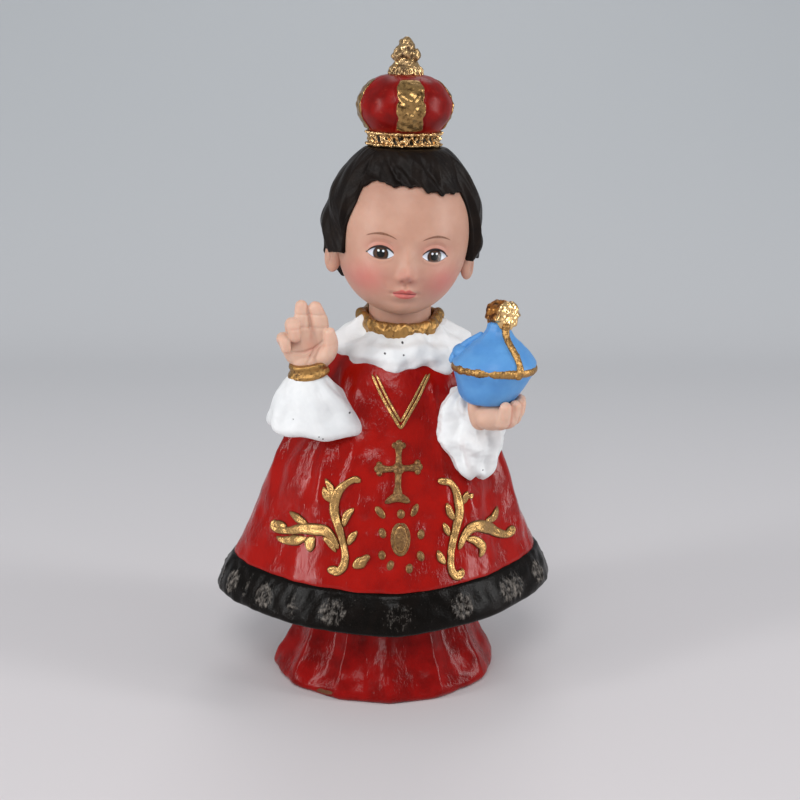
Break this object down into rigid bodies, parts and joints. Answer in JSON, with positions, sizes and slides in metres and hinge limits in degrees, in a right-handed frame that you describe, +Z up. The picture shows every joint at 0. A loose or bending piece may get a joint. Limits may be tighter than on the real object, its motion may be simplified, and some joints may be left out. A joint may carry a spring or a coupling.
{
  "type": "painted religious figurine",
  "caption": "Small cast resin figurine of the crowned Infant of Prague with a flared red robe, raised right hand and an orb in the left, on a fluted foot",
  "frame": {"origin": "centre of the flat underside of the foot", "axes": "+Z up; the figure faces -Y; +X is on the viewer's right, which is the figure's left"},
  "size_m": [0.068, 0.0558, 0.125],
  "materials": {
    "painted_resin": "hand-painted cast polyester resin: gloss red robe, matte white ruff and sleeves, satin skin, dull gilt ornament, near-black hem border",
    "gilt_casting": "cast resin with bright gilt band and knob, and a gloss red painted cap with gilt panels"
  },
  "bodies": {
    "root": {"figure": "painted_resin", "crown": "gilt_casting"}
  },
  "joints": []
}
